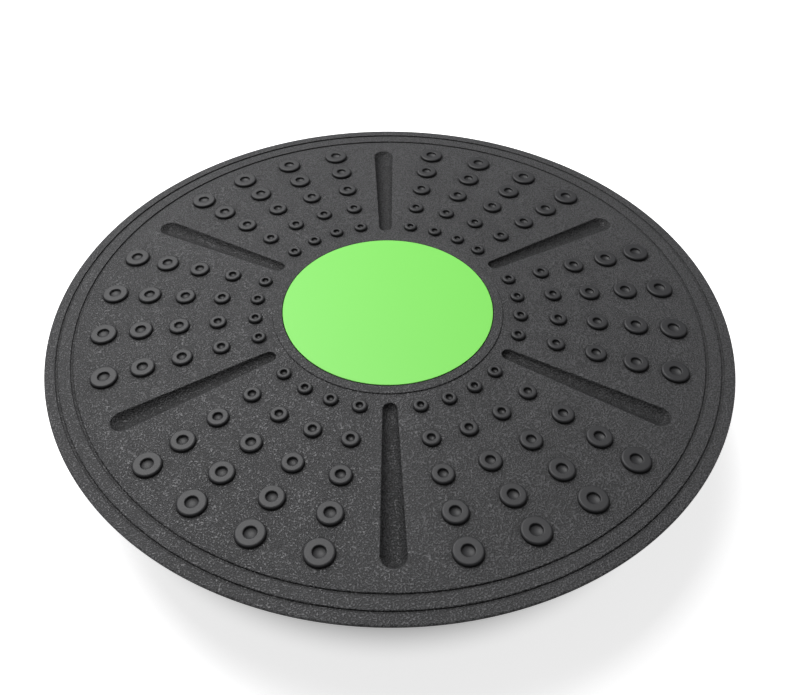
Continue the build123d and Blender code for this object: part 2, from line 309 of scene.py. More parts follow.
@dataclass(frozen=True)
class SatinPlastic:
    """Plastic moulded in a plain, stoned tool: an even satin with a very fine, shallow tooth."""

    name: str
    colour: str
    roughness: float
    ior: float
    tooth_mm: float = 0.6  # drawn coarser than the real 0.1 mm stoning, so that it shows at all
    relief_mm: float = 0.008
    shine: float = 0.05  # how far the tooth moves the roughness either way
    mottle_mm: float = 30.0
    mottle: float = 0.03
    # how wide an opening still takes painted shade
    cavity_shade_mm: float = 4.0

    def material(self) -> bpy.types.Material:
        """Build the material.

        Returns:
            The finished material.
        """
        material, tree = new_material(self.name)
        place = add_node(tree, "TexCoord").outputs["Object"]
        tooth = add_node(
            tree,
            "TexNoise",
            {"Vector": place, "Scale": per_metre(self.tooth_mm), "Detail": 2.0},
        )
        colour = mottled(tree, place, linear(self.colour), self.mottle_mm, self.mottle)
        shine = add_node(
            tree,
            "MapRange",
            {
                "Value": tooth.outputs[0],
                "To Min": self.roughness - self.shine,
                "To Max": self.roughness + self.shine,
            },
        )
        relief = add_node(tree, "Bump", {"Distance": self.relief_mm * MM, "Height": tooth.outputs[0]})
        # The base colour carries painted shade in narrow corners and holes
        shader = add_node(
            tree,
            "BsdfPrincipled",
            {
                "Base Color": paint_cavity_shade(tree, colour, self.cavity_shade_mm),
                "Roughness": shine.outputs[0],
                "IOR": self.ior,
                "Normal": relief.outputs[0],
            },
        )
        add_node(tree, "OutputMaterial", {"Surface": shader.outputs[0]})
        return material


@dataclass(frozen=True)
class ZincPlatedSteel:
    """Zinc-plated steel fasteners: a dull bluish grey, where the plating clouds the shine."""

    name: str = "zinc_plated_steel"
    colour: str = "b9bcc2"
    roughness: float = 0.34
    cloud_mm: float = 1.8
    shades: tuple[float, float] = (0.86, 1.1)  # the darkest and the lightest cloud
    shine: tuple[float, float] = (-0.1, 0.12)  # added to the roughness in each

    def material(self) -> bpy.types.Material:
        """Build the material.

        Returns:
            The finished material.
        """
        material, tree = new_material(self.name)
        place = add_node(tree, "TexCoord").outputs["Object"]
        cloud = add_node(
            tree,
            "TexNoise",
            {"Vector": place, "Scale": per_metre(self.cloud_mm), "Detail": 4.0},
        )
        shade = add_node(
            tree,
            "MapRange",
            {"Value": cloud.outputs[0], "To Min": self.shades[0], "To Max": self.shades[1]},
        )
        colour = add_node(
            tree,
            "HueSaturation",
            {"Value": shade.outputs[0], "Color": linear(self.colour)},
        )
        glossiest, dullest = (self.roughness + change for change in self.shine)
        shine = add_node(
            tree,
            "MapRange",
            {"Value": cloud.outputs[0], "To Min": glossiest, "To Max": dullest},
        )
        shader = add_node(
            tree,
            "BsdfPrincipled",
            {"Base Color": colour.outputs[0], "Roughness": shine.outputs[0], "Metallic": 1.0},
        )
        add_node(tree, "OutputMaterial", {"Surface": shader.outputs[0]})
        return material


# The grain in the grooves' troughs: rougher, and with both its colours darkened as painted shade in the
# grooves
TROUGH_PAINTED_SHADE_POLYPROPYLENE = LeatherGrainPolypropylene(
    "black_polypropylene_grain_painted_shade", "0b0b0c", "3a3a3c", roughness=0.55, relief_mm=0.34
)
# Polypropylene as it leaves a polished cavity: smoother than the grain around it
SATIN_POLYPROPYLENE = SatinPlastic("black_polypropylene_satin", "333335", 0.54, 1.49)
# ABS in a strong light green, moulded against a fine spark-eroded face
GREEN_ABS = SatinPlastic(
    "light_green_abs", "87ec62", 0.5, 1.53, relief_mm=0.004, mottle_mm=80.0, mottle=0.006
)
# Soft thermoplastic rubber: very matt, a little greyer than the plastic
THERMOPLASTIC_RUBBER = SatinPlastic(
    "black_thermoplastic_rubber", "3a3a3c", 0.78, 1.5, tooth_mm=0.8, relief_mm=0.03
)


# ---------------------------------------------------------------- mesh tools


def join_points(bm: BMesh, outline: Sequence[Ring], closed: bool) -> list[BMVert | BMEdge]:
    """Draw an outline of (radius, height) points in the XZ plane as a wire.

    Args:
        bm: The mesh that takes the wire.
        outline: The points, in millimetres.
        closed: Whether the last point joins the first.

    Returns:
        The wire's vertices and edges.
    """
    corners = [bm.verts.new((r * MM, 0, z * MM)) for r, z in outline]
    ends = corners[1:] + corners[:1] if closed else corners[1:]
    return corners + [bm.edges.new(pair) for pair in zip(corners, ends)]


def turn(bm: BMesh, wire: Sequence[BMVert | BMEdge], steps: int) -> None:
    """Spin a wire once round the Z axis and close its seam and poles.

    Args:
        bm: The mesh that holds the wire.
        wire: Vertices and edges of the wire.
        steps: Number of facets round the circle.
    """
    bmesh.ops.spin(
        bm, geom=list(wire), cent=(0, 0, 0), axis=(0, 0, 1), angle=math.tau, steps=steps, use_merge=True
    )
    bmesh.ops.remove_doubles(bm, verts=bm.verts, dist=SEAM * MM)


def ring_edges(bm: BMesh, ring: Ring) -> list[BMEdge]:
    """Find the edges that run round the axis at one radius and height.

    Args:
        bm: The mesh to look through.
        ring: Radius and height, in millimetres.

    Returns:
        The edges of that ring.
    """
    near = NEAR * MM

    def on_ring(vert: BMVert) -> bool:
        """Whether a vertex lies on the ring."""
        return abs(vert.co.xy.length - ring[0] * MM) < near and abs(vert.co.z - ring[1] * MM) < near

    return [e for e in bm.edges if on_ring(e.verts[0]) and on_ring(e.verts[1])]


def round_edges(bm: BMesh, edges: Sequence[BMEdge], radius: float, segments: int) -> None:
    """Round some edges.

    Args:
        bm: The mesh that holds the edges.
        edges: The edges.
        radius: Radius of the rounding in millimetres.
        segments: Number of facets across it.
    """
    bmesh.ops.bevel(
        bm,
        geom=list(edges),
        offset=radius * MM,
        offset_type="OFFSET",
        segments=segments,
        profile=0.5,
        affect="EDGES",
        material=-1,
        clamp_overlap=True,
    )


def round_rings(bm: BMesh, rings: Iterable[Ring], radius: float, segments: int = 4) -> None:
    """Round the ring edges at the given radii and heights.

    Args:
        bm: The mesh that holds them.
        rings: Radius and height of each, in millimetres.
        radius: Radius of the rounding in millimetres.
        segments: Number of facets across it.
    """
    for ring in rings:
        round_edges(bm, ring_edges(bm, ring), radius, segments)


def stamp(bm: BMesh, mesh: bpy.types.Mesh, places: Iterable[Matrix]) -> None:
    """Add copies of a mesh at the given places.

    Args:
        bm: The mesh that takes the copies.
        mesh: What is copied.
        places: Where each copy goes.
    """
    for place in places:
        copy = mesh.copy()
        copy.transform(place)
        bm.from_mesh(copy)
        bpy.data.meshes.remove(copy)


def finish_mesh(bm: BMesh, name: str, outwards: bool = True) -> bpy.types.Mesh:
    """Turn a bmesh into a smooth-shaded mesh and free it.

    Args:
        bm: The bmesh, which is used up.
        name: Name of the new mesh.
        outwards: Whether to make the faces of each closed shell point outwards.

    Returns:
        The mesh.
    """
    if outwards:
        bmesh.ops.recalc_face_normals(bm, faces=bm.faces)
    mesh = bpy.data.meshes.new(name)
    bm.to_mesh(mesh)
    bm.free()
    mesh.shade_smooth()
    return mesh


def place_piece(
    mesh: bpy.types.Mesh, materials: Sequence[bpy.types.Material], node: str
) -> bpy.types.Object:
    """Make a piece of the object from a mesh, in place of a CAD node.

    Args:
        mesh: The piece's mesh, already in place.
        materials: Its materials, in the order of the faces' indices.
        node: The CAD node that it stands for.

    Returns:
        The new object.
    """
    piece = bpy.data.objects.new(mesh.name, mesh)
    bpy.context.scene.collection.objects.link(piece)
    for material in materials:
        mesh.materials.append(material)
    even = piece.modifiers.new("even_shading", "WEIGHTED_NORMAL")
    even.weight = 100
    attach(piece, BODY)
    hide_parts(node)
    log.info("%s: %d faces, stands for %s", piece.name, len(mesh.polygons), node)
    return piece


def turns_of(count: int, start_deg: float = 0.0) -> list[Matrix]:
    """Even turns about the Z axis.

    Args:
        count: How many in a full circle.
        start_deg: Angle of the first.

    Returns:
        One rotation for each.
    """
    return [Matrix.Rotation(math.radians(start_deg + 360 * i / count), 4, "Z") for i in range(count)]


# ---------------------------------------------------------------- the deck


class Finish(Enum):
    """Which of the deck's tool finishes a face has."""

    GRAINED = 0
    SATIN = 1
    TROUGH = 2


def finish_all(bm: BMesh, finish: Finish) -> None:
    """Give every face of a mesh one finish.

    Args:
        bm: The mesh.
        finish: The finish.
    """
    for face in bm.faces:
        face.material_index = finish.value


@dataclass
class Stud:
    """One ring stud: a low round button with a round hole in its middle. Sizes in millimetres."""

    radius: float
    height: float = 2.0
    hole_share: float = 0.42
    hole_floor: float = 0.5
    hole_draft: float = 0.95  # share of the hole's radius that is left at its floor
    edge_round: float = 1.2
    hole_round: float = 0.6
    foot_round: float = 0.2
    margin: float = 0.7  # flat ring of deck that comes with the stud
    facets: int = 32

    def mesh(self, deck_top: float) -> bpy.types.Mesh:
        """Build the stud on the Z axis, open below, with a flat margin on the deck.

        Args:
            deck_top: Height of the deck's surface.

        Returns:
            The mesh.
        """
        bm = bmesh.new()
        top = deck_top + self.height
        floor = deck_top + self.hole_floor
        hole = self.radius * self.hole_share
        outline = [(self.radius + self.margin, deck_top), (self.radius, deck_top), (self.radius, top)]
        outline += [(hole, top), (hole * self.hole_draft, floor), (0.0, floor)]
        turn(bm, join_points(bm, outline, closed=False), self.facets)
        round_rings(bm, [(self.radius, top)], self.edge_round, 6)
        round_rings(bm, [(hole, top)], self.hole_round, 3)
        round_rings(bm, [(self.radius, deck_top)], self.foot_round, 2)
        for face in bm.faces:
            on_deck = max(v.co.z for v in face.verts) < (deck_top + NEAR) * MM
            face.material_index = (Finish.GRAINED if on_deck else Finish.SATIN).value
        return finish_mesh(bm, "stud", outwards=False)


@dataclass
class Groove:
    """One radial groove on +X, round in section and narrow towards the middle. Sizes in millimetres.

    Its trough is the path of a ball that grows as it rolls outwards.
    """

    start: float = 74.3
    end: float = 172.0
    end_radii: tuple[float, float] = (4.0, 6.6)
    depth: float = 3.2
    rim_round: float = 0.5
    margin: float = 0.9  # flat ring of deck that comes with the groove
    well_wall: float = 2.6
    well_draft: tuple[float, float] = (-0.6, -0.9)  # the bulge's outline against the mouth, root and foot
    well_round: float = 0.8
    # Shares of the trough's arc at which it has an edge, from the mouth down to the floor
    arc_shares: tuple[float, ...] = (1.0, 0.84, 0.74, 0.64, 0.54, 0.44, 0.34, 0.23, 0.1)
    facets: int = 48

    def centres(self) -> tuple[float, float]:
        """Distances of the two round ends' centres from the axis."""
        return self.start + self.end_radii[0], self.end - self.end_radii[1]

    def loop(self, bm: BMesh, height: float, radii: tuple[float, float]) -> list[BMVert]:
        """Draw a loop round the groove: a circle pulled apart into two round ends.

        Args:
            bm: The mesh that takes the loop.
            height: Height of the loop.
            radii: Radii of its inner and outer ends.

        Returns:
            The loop's vertices.
        """
        spread = Matrix.Rotation(math.pi / self.facets, 4, "Z")
        made = bmesh.ops.create_circle(bm, segments=self.facets, radius=1.0, matrix=spread)["verts"]
        halves = [[v for v in made if v.co.x * side > 0] for side in (-1, 1)]
        for centre, radius, half in zip(self.centres(), radii, halves):
            bmesh.ops.scale(bm, vec=(radius * MM, radius * MM, 1), verts=half)
            bmesh.ops.translate(bm, vec=(centre * MM, 0, height * MM), verts=half)
        return made

    def grown(self, grow: float) -> tuple[float, float]:
        """Radii of the two ends of an outline that runs outside the groove's own by an offset."""
        inner, outer = self.end_radii
        return inner + grow, outer + grow

    def section(self) -> list[tuple[float, tuple[float, float]]]:
        """Cut the trough level by level.

        Returns:
            Depth below the deck and radii of the two ends, from the mouth down.
        """
        balls = [(r**2 + self.depth**2) / (2 * self.depth) for r in self.end_radii]
        widest = math.acos(1 - self.depth / balls[1])
        levels = []
        for share in self.arc_shares:
            lift = balls[1] * (1 - math.cos(widest * share))  # height over the trough's floor
            inner, outer = (math.sqrt(lift * (2 * ball - lift)) for ball in balls)
            levels.append((self.depth - lift, (inner, outer)))
        return levels

    def mesh(self, deck_top: float) -> bpy.types.Mesh:
        """Build the trough, with a flat margin on the deck round its mouth.

        Args:
            deck_top: Height of the deck's surface.

        Returns:
            The mesh.
        """
        bm = bmesh.new()
        levels = [(0.0, self.grown(self.margin)), *self.section()]
        loops = [self.edges_of(self.loop(bm, deck_top - depth, radii)) for depth, radii in levels]
        for upper, lower in zip(loops, loops[1:]):
            bmesh.ops.bridge_loops(bm, edges=upper + lower)
        bmesh.ops.edgeloop_fill(bm, edges=loops[-1])
        round_edges(bm, loops[1], self.rim_round, 4)
        # Faces down in the trough take the darker grain: painted shade in the groove
        for face in bm.faces:
            if min(v.co.z for v in face.verts) < (deck_top - self.rim_round / 2) * MM:
                face.material_index = Finish.TROUGH.value
        return finish_mesh(bm, "groove", outwards=False)

    def well_mesh(self, plate_bottom: float, deck_top: float) -> bpy.types.Mesh:
        """Build the bulge that carries the groove's floor under the plate.

        Args:
            plate_bottom: Height of the plate's underside.
            deck_top: Height of the deck's surface.

        Returns:
            The mesh, a closed shell.
        """
        bm = bmesh.new()
        bottom = deck_top - self.depth - self.well_wall
        root, foot = (self.grown(draft) for draft in self.well_draft)
        upper = self.edges_of(self.loop(bm, plate_bottom + OVERLAP, root))
        lower = self.edges_of(self.loop(bm, bottom, foot))
        bmesh.ops.bridge_loops(bm, edges=upper + lower)
        for loop in (upper, lower):
            bmesh.ops.edgeloop_fill(bm, edges=loop)
        round_edges(bm, lower, self.well_round, 3)
        finish_all(bm, Finish.SATIN)
        return finish_mesh(bm, "groove_well")

    @staticmethod
    def edges_of(loop: Sequence[BMVert]) -> list[BMEdge]:
        """The edges of a loop of vertices, each once and in the loop's order."""
        return list(dict.fromkeys(e for v in loop for e in v.link_edges))


@dataclass
class Deck:
    """The standing deck: one black moulding with studs, grooves, ring lines and ribs.

    Sizes in millimetres.
    """

    studs: tuple[Stud, ...] = tuple(Stud(r) for r in (4.25, 5.1, 6.15, 7.0, 7.85))
    stud_rings: tuple[float, ...] = (78.6, 100.6, 123.3, 145.7, 167.4)
    stud_angles: tuple[float, ...] = (-18.0, -6.0, 6.0, 18.0)
    sectors: int = 6
    groove: Groove = field(default_factory=Groove)
    plate: float = 3.4
    cone_slope_deg: float = 2.0
    plateau_radius: float = 68.4
    plateau_rise: float = 0.71
    plateau_round: float = 0.6
    recess_radius: float = 62.8
    lines: tuple[float, float] = (184.1, 192.6)  # the first runs where the cone ends
    line_width: float = 1.4
    line_depth: float = 0.8
    line_rounds: tuple[float, float] = (0.7, 0.25)
    strip: float = 1.6  # flat ring of deck kept beside the plateau and the first line
    lip_thick: float = 2.0
    lip_round: float = 0.9
    edge_round: float = 0.5
    snap_depth: float = 3.4
    snap_bead: float = 0.5
    snap_half: float = 0.9
    hub_depth: float = 7.1
    hub_floor: float = 3.6
    hub_wall: float = 3.0
    collar: tuple[float, float] = (92.6, 95.2)
    collar_depth: float = 15.4
    seat_inside: float = 88.6
    seat_depth: float = 5.8
    skirt: tuple[float, float] = (185.5, 188.0)
    skirt_depth: float = 6.0
    rib_thick: float = 2.2
    rib_round: float = 0.4
    rib_count: int = 30
    ring_ribs: tuple[float, float] = (125.0, 156.0)
    ring_rib_depths: tuple[float, float] = (8.5, 7.5)
    facets: int = 288
    radius: float = field(init=False)
    top: float = field(init=False)  # height of the level band round the rim
    plate_bottom: float = field(init=False)

    def __post_init__(self) -> None:
        """Take the deck's height and radius from the frame."""
        self.radius = reach_of("deck")
        crest = self.stud_rings[0] - self.studs[0].radius + self.studs[0].edge_round
        self.top = top_of("deck") - self.studs[0].height - self.rise(crest)
        self.plate_bottom = self.top - self.plate

    def rise(self, radius: float) -> float:
        """Height of the shallow cone over the level band round the rim.

        Args:
            radius: Distance from the axis.

        Returns:
            The height, which is level again under the plateau.
        """
        inwards = self.lines[0] - max(radius, self.plateau_radius)
        return max(inwards, 0.0) * math.tan(math.radians(self.cone_slope_deg))

    def lean(self, bm: BMesh) -> None:
        """Lift a deck that was built flat onto its cone.

        Args:
            bm: The flat deck.
        """
        for vert in bm.verts:
            vert.co.z += self.rise(vert.co.xy.length / MM) * MM

    def shell(self, bm: BMesh) -> None:
        """Spin the plate with its plateau, rim lines, lip, skirt, collar and hub, open where the studs go.

        Args:
            bm: The mesh that takes it.
        """
        top, under = self.top, self.plate_bottom
        plateau = top + self.plateau_rise
        lip_bottom = top - self.lip_thick
        snap = plateau - self.snap_depth
        hub_floor = plateau - self.hub_depth
        hub_bottom = hub_floor - self.hub_floor
        hub_outside = self.recess_radius + self.hub_wall
        collar_bottom = top - self.collar_depth
        skirt_bottom = top - self.skirt_depth
        seat = top - self.seat_depth
        outline = [(self.plateau_radius + self.strip, top), (self.plateau_radius, top)]
        outline += [(self.plateau_radius, plateau), (self.recess_radius, plateau)]
        outline += [(self.recess_radius, snap + self.snap_half)]
        outline += [(self.recess_radius + self.snap_bead, snap)]
        outline += [(self.recess_radius, snap - self.snap_half), (self.recess_radius, hub_floor)]
        outline += [(0.0, hub_floor), (0.0, hub_bottom), (hub_outside, hub_bottom), (hub_outside, under)]
        outline += [(self.seat_inside, under), (self.seat_inside, seat), (self.collar[0], seat)]
        outline += [(r, collar_bottom) for r in self.collar] + [(self.collar[1], under)]
        outline += [(self.skirt[0], under)] + [(r, skirt_bottom) for r in self.skirt]
        outline += [(self.skirt[1], lip_bottom), (self.radius, lip_bottom), (self.radius, top)]
        for line in reversed(self.lines):
            outline += [(line + self.line_width, top), (line + self.line_width, top - self.line_depth)]
            outline += [(line, top - self.line_depth), (line, top)]
        outline.append((self.lines[0] - self.strip, top))
        turn(bm, join_points(bm, outline, closed=False), self.facets)
        for face in bm.faces:
            below = max(v.co.z for v in face.verts) < (lip_bottom + CLEAR) * MM
            hidden = max(v.co.xy.length for v in face.verts) < (hub_outside + CLEAR) * MM
            satin = below and not (hidden and face.calc_center_median().z > (hub_bottom + CLEAR) * MM)
            face.material_index = (Finish.SATIN if satin else Finish.GRAINED).value
        round_rings(bm, [(self.plateau_radius, plateau)], self.plateau_round, 5)
        round_rings(bm, [(self.recess_radius, plateau)], self.line_rounds[1], 3)
        round_rings(bm, [(line, top) for line in self.lines], self.line_rounds[0], 5)
        outer_edges = [(line + self.line_width, top) for line in self.lines]
        round_rings(bm, outer_edges, self.line_rounds[1], 3)
        round_rings(bm, [(self.radius, top), (self.radius, lip_bottom)], self.lip_round, 6)
        edges = [(r, skirt_bottom) for r in self.skirt] + [(r, collar_bottom) for r in self.collar]
        round_rings(bm, edges, self.edge_round, 3)

    def rib_mesh(self) -> bpy.types.Mesh:
        """Build one radial rib on +X, from the collar to the skirt.

        Returns:
            The mesh, a closed shell.
        """
        bm = bmesh.new()
        inside = sum(self.collar) / 2
        outside = sum(self.skirt) / 2
        root = self.plate_bottom + OVERLAP
        outline = [(inside, self.top - self.collar_depth + OVERLAP)]
        outline += [(ring, self.top - depth) for ring, depth in zip(self.ring_ribs, self.ring_rib_depths)]
        outline += [(outside, self.top - self.skirt_depth + OVERLAP), (outside, root), (inside, root)]
        wire = join_points(bm, outline, closed=True)
        side = bmesh.ops.contextual_create(bm, geom=wire)["faces"]
        bmesh.ops.translate(bm, vec=(0, -self.rib_thick / 2 * MM, 0), verts=bm.verts)
        grown = bmesh.ops.extrude_face_region(bm, geom=side)["geom"]
        across = [v for v in grown if isinstance(v, BMVert)]
        bmesh.ops.translate(bm, vec=(0, self.rib_thick * MM, 0), verts=across)
        low = [e for e in bm.edges if max(v.co.z for v in e.verts) < (root - CLEAR) * MM]
        long_low = [e for e in low if abs(e.verts[0].co.y - e.verts[1].co.y) < CLEAR * MM]
        round_edges(bm, long_low, self.rib_round, 2)
        finish_all(bm, Finish.SATIN)
        return finish_mesh(bm, "rib")

    def ring_rib_mesh(self, radius: float, depth: float) -> bpy.types.Mesh:
        """Build one ring rib under the plate.

        Args:
            radius: Radius of the rib's middle.
            depth: Depth of its lower edge below the deck's surface.

        Returns:
            The mesh, a closed shell.
        """
        bm = bmesh.new()
        bottom = self.top - depth
        root = self.plate_bottom + OVERLAP
        sides = (radius - self.rib_thick / 2, radius + self.rib_thick / 2)
        outline = [(sides[0], bottom), (sides[1], bottom), (sides[1], root), (sides[0], root)]
        turn(bm, join_points(bm, outline, closed=True), self.facets // 2)
        round_rings(bm, [(r, bottom) for r in sides], self.rib_round, 2)
        finish_all(bm, Finish.SATIN)
        return finish_mesh(bm, "ring_rib")

    def close_surface(self, bm: BMesh) -> None:
        """Fill the flat deck between the shell, the studs and the grooves.

        The mesh's own triangle fill leaves gaps in a border of so many loops, so the triangles come from
        a Delaunay fill of the same corners.

        Args:
            bm: The mesh, with open loops only at the deck's surface.
        """
        border = [e for e in bm.edges if e.is_boundary]
        corners = sorted({v for e in border for v in e.verts}, key=lambda v: v.index)
        place = {v: i for i, v in enumerate(corners)}
        flat = [v.co.xy / MM for v in corners]
        joined = [(place[e.verts[0]], place[e.verts[1]]) for e in border]
        loop_of = self.number_loops(len(corners), joined)
        inside = 1  # keep the triangles inside the outermost loop
        _, _, triangles, source, _, _ = delaunay_2d_cdt(flat, joined, [], inside, 1e-5)
        for triangle in triangles:
            points = [source[i][0] for i in triangle]
            if len({loop_of[i] for i in points}) > 1:  # within one loop it would cover a stud or a groove
                bm.faces.new([corners[i] for i in points])

    @staticmethod
    def number_loops(count: int, joined: Sequence[tuple[int, int]]) -> list[int]:
        """Number the closed loops that joined points make.

        Args:
            count: Number of points.
            joined: Pairs of neighbouring points.

        Returns:
            The loop number of each point.
        """
        beside: list[list[int]] = [[] for _ in range(count)]
        for one, other in joined:
            beside[one].append(other)
            beside[other].append(one)
        loop_of = [-1] * count
        for start in range(count):
            waiting = [start] if loop_of[start] < 0 else []
            while waiting:
                point = waiting.pop()
                if loop_of[point] < 0:
                    loop_of[point] = start
                    waiting += beside[point]
        return loop_of

    def mesh(self) -> bpy.types.Mesh:
        """Build the whole deck.

        Returns:
            The mesh.
        """
        bm = bmesh.new()
        self.shell(bm)
        between = 180 / self.sectors
        stamp(bm, self.groove.mesh(self.top), turns_of(self.sectors, between))
        turned = [turn_by for angle in self.stud_angles for turn_by in turns_of(self.sectors, angle)]
        for ring, stud in zip(self.stud_rings, self.studs):
            out = Matrix.Translation((ring * MM, 0, 0))
            stamp(bm, stud.mesh(self.top), [turn_by @ out for turn_by in turned])
        bm.verts.index_update()
        self.close_surface(bm)
        bmesh.ops.recalc_face_normals(bm, faces=bm.faces)
        stamp(bm, self.groove.well_mesh(self.plate_bottom, self.top), turns_of(self.sectors, between))
        stamp(bm, self.rib_mesh(), turns_of(self.rib_count, 180 / self.rib_count))
        for radius, depth in zip(self.ring_ribs, self.ring_rib_depths):
            stamp(bm, self.ring_rib_mesh(radius, depth), [Matrix.Identity(4)])
        self.lean(bm)
        return finish_mesh(bm, "deck_moulding", outwards=False)

    def dress(self, mesh: bpy.types.Mesh) -> bpy.types.Object:
        """Put the deck in place with its finishes.

        Args:
            mesh: The deck's mesh.

        Returns:
            The piece.
        """
        finishes = {
            Finish.GRAINED: LeatherGrainPolypropylene().material(),
            # the troughs' grain, darkened as painted shade
            Finish.TROUGH: TROUGH_PAINTED_SHADE_POLYPROPYLENE.material(),
            Finish.SATIN: SATIN_POLYPROPYLENE.material(),
        }
        materials = [finishes[f] for f in sorted(Finish, key=lambda f: f.value)]
        return place_piece(mesh, materials, "deck")


# ---------------------------------------------------------------- the cap, the dome and the foot


@dataclass
class CentreCap:
    """The green cap in the middle of the deck: a flat skin with a snap skirt. Sizes in millimetres."""

    radius: float = 62.5
    skin: float = 2.2
    skirt_thick: float = 2.0
    edge_round: float = 0.4
    snap_drop: float = 3.65
    snap_bead: float = 0.5
    snap_half: float = 0.9
    facets: int = 288

    def mesh(self) -> bpy.types.Mesh:
        """Build the cap.

        Returns:
            The mesh.
        """
        bm = bmesh.new()
        top = top_of("centre_cap")
        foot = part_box("centre_cap")[0].z / MM
        inside = self.radius - self.skirt_thick
        snap = top - self.snap_drop
        outline = [(0.0, top - self.skin), (0.0, top), (self.radius, top)]
        outline += [(self.radius, snap + self.snap_half), (self.radius + self.snap_bead, snap)]
        outline += [(self.radius, snap - self.snap_half)]
        outline += [(self.radius, foot), (inside, foot), (inside, top - self.skin)]
        turn(bm, join_points(bm, outline, closed=True), self.facets)
        round_rings(bm, [(self.radius, top)], self.edge_round)
        return finish_mesh(bm, "centre_cap_moulding")

    def dress(self, mesh: bpy.types.Mesh) -> bpy.types.Object:
        """Put the cap in place in its green plastic."""
        return place_piece(mesh, [GREEN_ABS.material()], "centre_cap")


@dataclass
class Dome:
    """The hollow rocking dome under the deck. Sizes in millimetres."""

    band_bottom: float = 53.0
    pole: float = 1.5
    wall: float = 3.6
    shoulder_round: float = 0.6
    recess_radius: float = 40.25
    recess_depth: float = 1.5
    recess_round: float = 0.5
    arc_steps: int = 30
    facets: int = 192
    radius: float = field(init=False)
    top: float = field(init=False)
    sphere: float = field(init=False)  # radius of the sphere that the dome is part of
    centre: float = field(init=False)  # height of that sphere's centre

    def __post_init__(self) -> None:
        """Work out the sphere that the dome is part of."""
        self.radius = reach_of("dome")
        self.top = top_of("dome")
        rise = self.band_bottom - self.pole
        self.sphere = (self.radius**2 + rise**2) / (2 * rise)
        self.centre = self.pole + self.sphere

    def on_sphere(self, sphere: float, radius: float) -> Ring:
        """A point of the lower half of a sphere about the dome's centre.

        Args:
            sphere: The sphere's radius.
            radius: The point's distance from the axis.

        Returns:
            The point's radius and height.
        """
        return radius, self.centre - math.sqrt(sphere**2 - radius**2)

    def sphere_arc(self, sphere: float, start: float, end: float, steps: int) -> list[Ring]:
        """Even points along such a sphere.

        Args:
            sphere: The sphere's radius.
            start: Distance of the first point from the axis.
            end: Distance of the last point from the axis.
            steps: Number of stretches between them.

        Returns:
            The points, both ends included.
        """
        first, last = math.asin(start / sphere), math.asin(end / sphere)
        turns = [first + (last - first) * i / steps for i in range(steps + 1)]
        return [(sphere * math.sin(a), self.centre - sphere * math.cos(a)) for a in turns]

    def mesh(self) -> bpy.types.Mesh:
        """Build the dome, with the recess for the foot pad and a hollow inside.

        Returns:
            The mesh.
        """
        bm = bmesh.new()
        hollow = self.sphere - self.wall - self.recess_depth
        mouth = self.on_sphere(self.sphere, self.recess_radius)
        edge = self.on_sphere(self.sphere, self.radius)
        recess = self.sphere - self.recess_depth
        outline = self.sphere_arc(recess, 0.0, self.recess_radius, self.arc_steps // 2)
        outline += self.sphere_arc(self.sphere, self.recess_radius, self.radius, self.arc_steps)
        outline += [(self.radius, self.top), (self.radius - self.wall, self.top)]
        outline += self.sphere_arc(hollow, self.radius - self.wall, 0.0, self.arc_steps)
        turn(bm, join_points(bm, outline, closed=True), self.facets)
        round_rings(bm, [edge], self.shoulder_round, 3)
        round_rings(bm, [mouth], self.recess_round, 3)
        return finish_mesh(bm, "dome_moulding")

    def dress(self, mesh: bpy.types.Mesh) -> bpy.types.Object:
        """Put the dome in place in black plastic."""
        return place_piece(mesh, [SATIN_POLYPROPYLENE.material()], "dome")


@dataclass
class FootPad:
    """The non-slip pad at the dome's pole, flat in the middle and ringed with treads.

    Sizes in millimetres.
    """

    dome: Dome
    flat: float = 15.0
    gap: float = 0.1
    edge_round: float = 0.8
    treads: tuple[float, ...] = (18.5, 23.0, 27.5, 32.0, 36.5)
    tread_cut: float = 0.9  # depth of a tread, and half its width at the mouth
    tread_floor: float = 0.55  # share of that width which is left at the floor
    tread_round: float = 0.22
    facets: int = 144

    def mesh(self) -> bpy.types.Mesh:
        """Build the pad.

        Returns:
            The mesh.
        """
        bm = bmesh.new()
        dome = self.dome
        radius = reach_of("foot_pad")
        back = dome.sphere - dome.recess_depth + self.gap
        face = math.hypot(dome.centre, self.flat)
        outline = dome.sphere_arc(back, 0.0, radius, 12)
        shoulder = dome.on_sphere(face, radius)
        outline.append(shoulder)
        cuts = []
        for tread in reversed(self.treads):
            for side in (1.0, self.tread_floor, -self.tread_floor, -1.0):
                r, z = dome.on_sphere(face, tread + side * self.tread_cut)
                outline.append((r, z + (self.tread_cut if abs(side) < 1 else 0.0)))
            cuts += outline[-4:]
        outline += [(self.flat, 0.0), (0.0, 0.0)]
        turn(bm, join_points(bm, outline, closed=True), self.facets)
        round_rings(bm, [shoulder], self.edge_round, 4)
        round_rings(bm, cuts, self.tread_round, 2)
        return finish_mesh(bm, "foot_pad_moulding")

    def dress(self, mesh: bpy.types.Mesh) -> bpy.types.Object:
        """Put the pad in place in soft black rubber."""
        return place_piece(mesh, [THERMOPLASTIC_RUBBER.material()], "foot_pad")


@dataclass
class Fasteners:
    """The screws and washers under the cap, which keep their CAD shapes."""

    nodes: tuple[str, ...] = ("screws", "washers")

    def dress(self) -> None:
        """Give the CAD nodes their plated steel."""
        steel = ZincPlatedSteel().material()
        for name in self.nodes:
            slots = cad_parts[name].data.materials
            slots.clear()
            slots.append(steel)
            log.info("%s: CAD shape in %s", name, steel.name)


# ---------------------------------------------------------------- the studio


